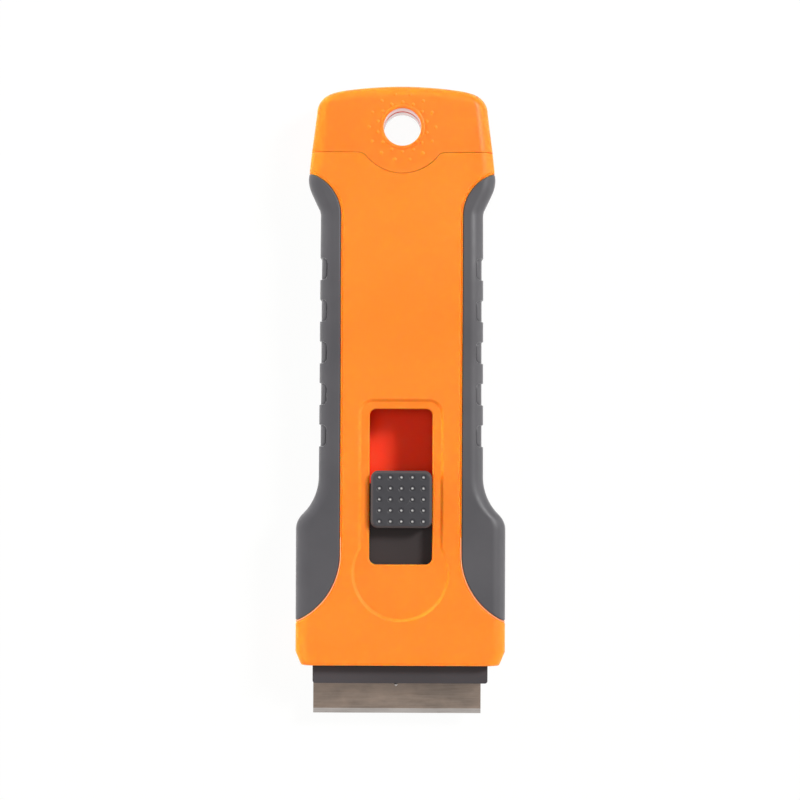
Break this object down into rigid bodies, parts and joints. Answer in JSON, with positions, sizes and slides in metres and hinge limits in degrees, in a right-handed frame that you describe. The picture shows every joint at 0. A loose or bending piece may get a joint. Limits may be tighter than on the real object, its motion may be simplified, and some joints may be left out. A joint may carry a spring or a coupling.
{
  "type": "telescopic tile scraper",
  "caption": "Flat hand scraper: two-shell handle with soft side grips, sliding lockable blade carriage, thumb button, and a pull-off end cap with hanging hole and spare-blade tray.",
  "frame": {"origin": "on the flat back, under the middle of the whole part with the blade at its rest place", "axes": "+X across the width, to the right in the picture; +Y from the blade to the cap; +Z out of the front, the button side"},
  "size_m": [0.0478, 0.1436, 0.0177],
  "materials": {
    "shell_plastic": "fine satin moulded orange plastic",
    "cap_plastic": "fine satin moulded orange plastic",
    "grip_rubber": "matt dark grey soft plastic",
    "tray_plastic": "matt dark grey plastic",
    "carriage_plastic": "satin dark grey plastic",
    "button_plastic": "satin dark grey plastic",
    "blade_steel": "ground blade steel",
    "spine_steel": "folded sheet steel",
    "spring_steel": "rolled spring steel",
    "screw_steel": "zinc-plated steel"
  },
  "bodies": {
    "handle": {"front_shell": "shell_plastic", "back_shell": "shell_plastic", "left_grip": "grip_rubber", "right_grip": "grip_rubber", "shell_screws": "screw_steel"},
    "cap": {"end_cap": "cap_plastic", "blade_tray": "tray_plastic", "spare_blade_1": "blade_steel", "spare_blade_2": "blade_steel", "spare_blade_3": "blade_steel", "spare_blade_4": "blade_steel", "spare_spine_1": "spine_steel", "spare_spine_2": "spine_steel", "spare_spine_3": "spine_steel", "spare_spine_4": "spine_steel"},
    "carriage": {"blade_carriage": "carriage_plastic", "blade_clamp": "carriage_plastic", "scraper_blade": "blade_steel", "blade_spine": "spine_steel", "lock_spring": "spring_steel"},
    "button": {"thumb_button": "button_plastic"}
  },
  "joints": [
    {"name": "carriage_slide", "type": "slide", "parent": "handle", "child": "carriage", "axis": [0, -1, 0], "range_m": [-0.0135, 0.0079]},
    {"name": "button_press", "type": "slide", "parent": "carriage", "child": "button", "axis": [0, 0, -1], "range_m": [0, 0.0013], "stiffness_N_per_m": 1500, "deforming": ["lock_spring"]},
    {"name": "cap_pull", "type": "slide", "parent": "handle", "child": "cap", "axis": [0, 1, 0], "range_m": [0, 0.048]}
  ]
}
